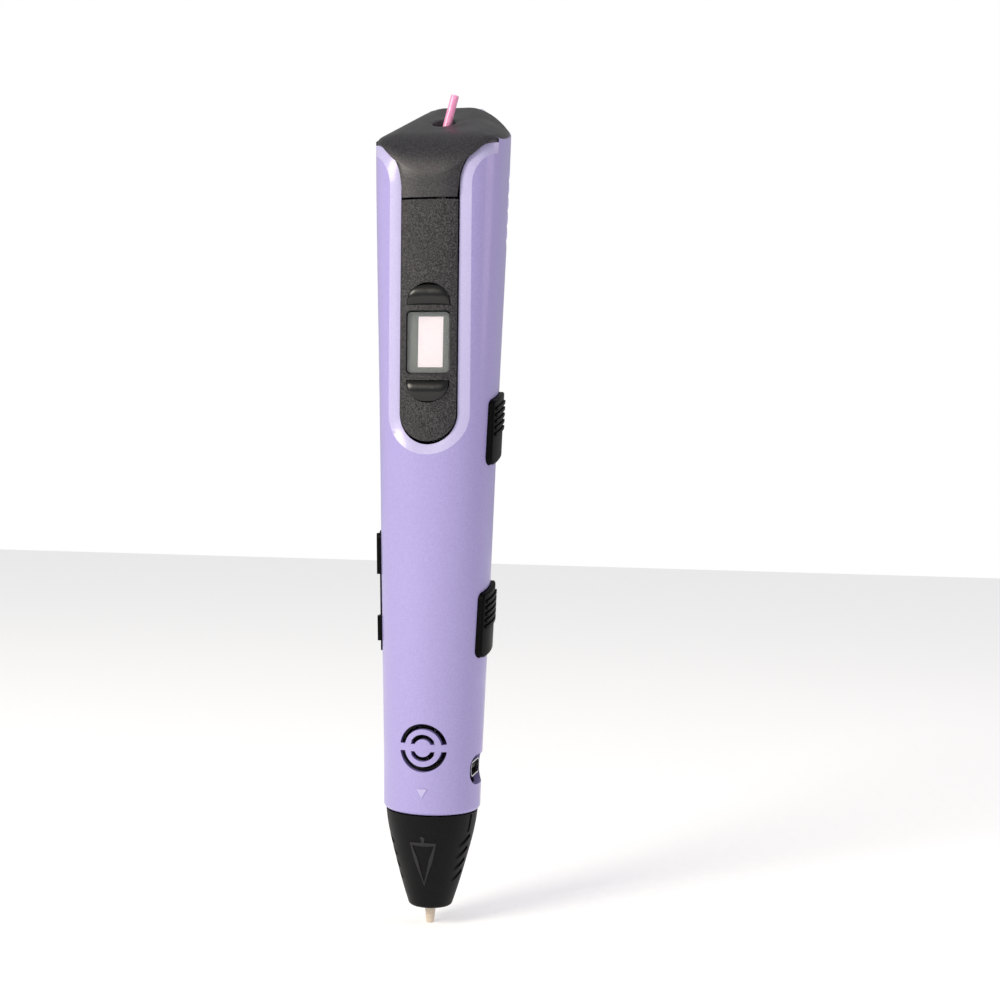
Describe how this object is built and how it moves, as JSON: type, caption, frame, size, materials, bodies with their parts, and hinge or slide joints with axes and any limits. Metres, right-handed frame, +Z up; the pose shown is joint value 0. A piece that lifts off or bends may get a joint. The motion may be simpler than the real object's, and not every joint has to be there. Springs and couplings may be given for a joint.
{
  "type": "three d pen",
  "caption": "Hand-held filament-extruding drawing pen with slanted cap, display panel, half-moon keys, ribbed side buttons, speed rocker, power inlet and tapered nose with ceramic tip.",
  "frame": {"origin": "nozzle tip, on the pen's long axis", "axes": "+Z up along the pen from the nozzle to the cap; the display faces -Y; the feed buttons are on +X"},
  "size_m": [0.0282, 0.0281, 0.1789],
  "materials": {
    "lavender_shell": "smooth satin-gloss moulded plastic",
    "black_matte": "fine spark-eroded grain",
    "black_cone": "satin moulded",
    "black_key": "satin",
    "tinted_lens": "polished",
    "lcd": "pale liquid-crystal window",
    "board_green": "solder mask",
    "chip_black": "moulded epoxy",
    "steel": "plain",
    "brass": "turned",
    "ceramic": "unglazed cream",
    "ptfe": "waxy",
    "frame_plastic": "natural acetal",
    "fan_black": "moulded",
    "filament_pink": "extruded gloss"
  },
  "bodies": {
    "casing": {"front_shell": "lavender_shell", "rear_shell": "lavender_shell", "rear_cover": "black_matte", "top_cap": "black_matte", "control_panel": "black_matte", "display_lens": "tinted_lens", "lcd_glass": "lcd", "lcd_backlight": "ptfe", "rocker_pin": "steel", "rocker_bracket": "frame_plastic", "nose_cone": "black_cone", "nozzle": "ceramic", "heated_barrel": "brass", "heater_sleeve": "ceramic", "temperature_sensor": "chip_black", "insulator": "ptfe", "hot_end_carrier": "steel", "gear_head": "steel", "motor_can": "steel", "motor_end_cap": "chip_black", "feeder_frame": "frame_plastic", "idler_pivot_pin": "steel", "upper_guide_tube": "ptfe", "lower_guide_tube": "ptfe", "fan_frame": "fan_black", "main_board": "board_green", "controller_chip": "chip_black", "panel_switches": "chip_black", "feed_board": "board_green", "feed_switch": "chip_black", "retract_board": "board_green", "retract_switch": "chip_black", "rocker_switches": "chip_black", "port_shell": "steel", "port_tongue": "chip_black", "port_board": "board_green", "casing_screws": "steel"},
    "up_key": {"up_key": "black_key"},
    "down_key": {"down_key": "black_key"},
    "feed_button": {"feed_button": "black_key"},
    "retract_button": {"retract_button": "black_key"},
    "speed_rocker": {"speed_rocker": "black_key"},
    "drive": {"drive_shaft": "steel", "drive_wheel": "brass", "drive_gear": "frame_plastic"},
    "pinion": {"motor_pinion": "brass", "pinion_shaft": "steel"},
    "idler_arm": {"idler_arm": "frame_plastic", "idler_axle": "steel", "idler_spring": "steel"},
    "idler_roller": {"idler_roller": "steel"},
    "fan_rotor": {"fan_rotor": "fan_black"},
    "filament": {"filament": "filament_pink"}
  },
  "joints": [
    {"name": "up_key_press", "type": "slide", "parent": "casing", "child": "up_key", "axis": [0, 1, 0], "range_m": [0, 0.0005], "stiffness_N_per_m": 400},
    {"name": "down_key_press", "type": "slide", "parent": "casing", "child": "down_key", "axis": [0, 1, 0], "range_m": [0, 0.0005], "stiffness_N_per_m": 400},
    {"name": "feed_button_press", "type": "slide", "parent": "casing", "child": "feed_button", "axis": [-1, 0, 0], "range_m": [0, 0.0006], "stiffness_N_per_m": 500},
    {"name": "retract_button_press", "type": "slide", "parent": "casing", "child": "retract_button", "axis": [-1, 0, 0], "range_m": [0, 0.0006], "stiffness_N_per_m": 500},
    {"name": "speed_rocker_tilt", "type": "hinge", "parent": "casing", "child": "speed_rocker", "pos_m": [-0.0076, 0, 0.0714], "axis": [0, 1, 0], "range_deg": [-2, 2], "stiffness_Nm_per_rad": 0.5},
    {"name": "filament_feed", "type": "slide", "parent": "casing", "child": "filament", "axis": [0, 0, 1], "range_m": [-0.003, 0.012]},
    {"name": "drive_spin", "type": "hinge", "parent": "casing", "child": "drive", "pos_m": [0, 0.00412, 0.09], "axis": [1, 0, 0], "continuous": true},
    {"name": "pinion_spin", "type": "hinge", "parent": "casing", "child": "pinion", "pos_m": [0, 0.00412, 0.096], "axis": [1, 0, 0], "continuous": true},
    {"name": "idler_arm_swing", "type": "hinge", "parent": "casing", "child": "idler_arm", "pos_m": [0, -0.0062, 0.0854], "axis": [1, 0, 0], "range_deg": [0, 8], "stiffness_Nm_per_rad": 0.2, "springref_deg": -2.86},
    {"name": "idler_roller_spin", "type": "hinge", "parent": "idler_arm", "child": "idler_roller", "pos_m": [0, -0.00352, 0.09], "axis": [1, 0, 0], "continuous": true},
    {"name": "fan_spin", "type": "hinge", "parent": "casing", "child": "fan_rotor", "pos_m": [0, -0.005, 0.0392], "axis": [0, 1, 0], "continuous": true}
  ],
  "couplings": [
    {"joint": "drive_spin", "follows": "filament_feed", "rad_per_m": -312.5},
    {"joint": "pinion_spin", "follows": "filament_feed", "rad_per_m": 468.75},
    {"joint": "idler_roller_spin", "follows": "filament_feed", "rad_per_m": 384.62}
  ]
}
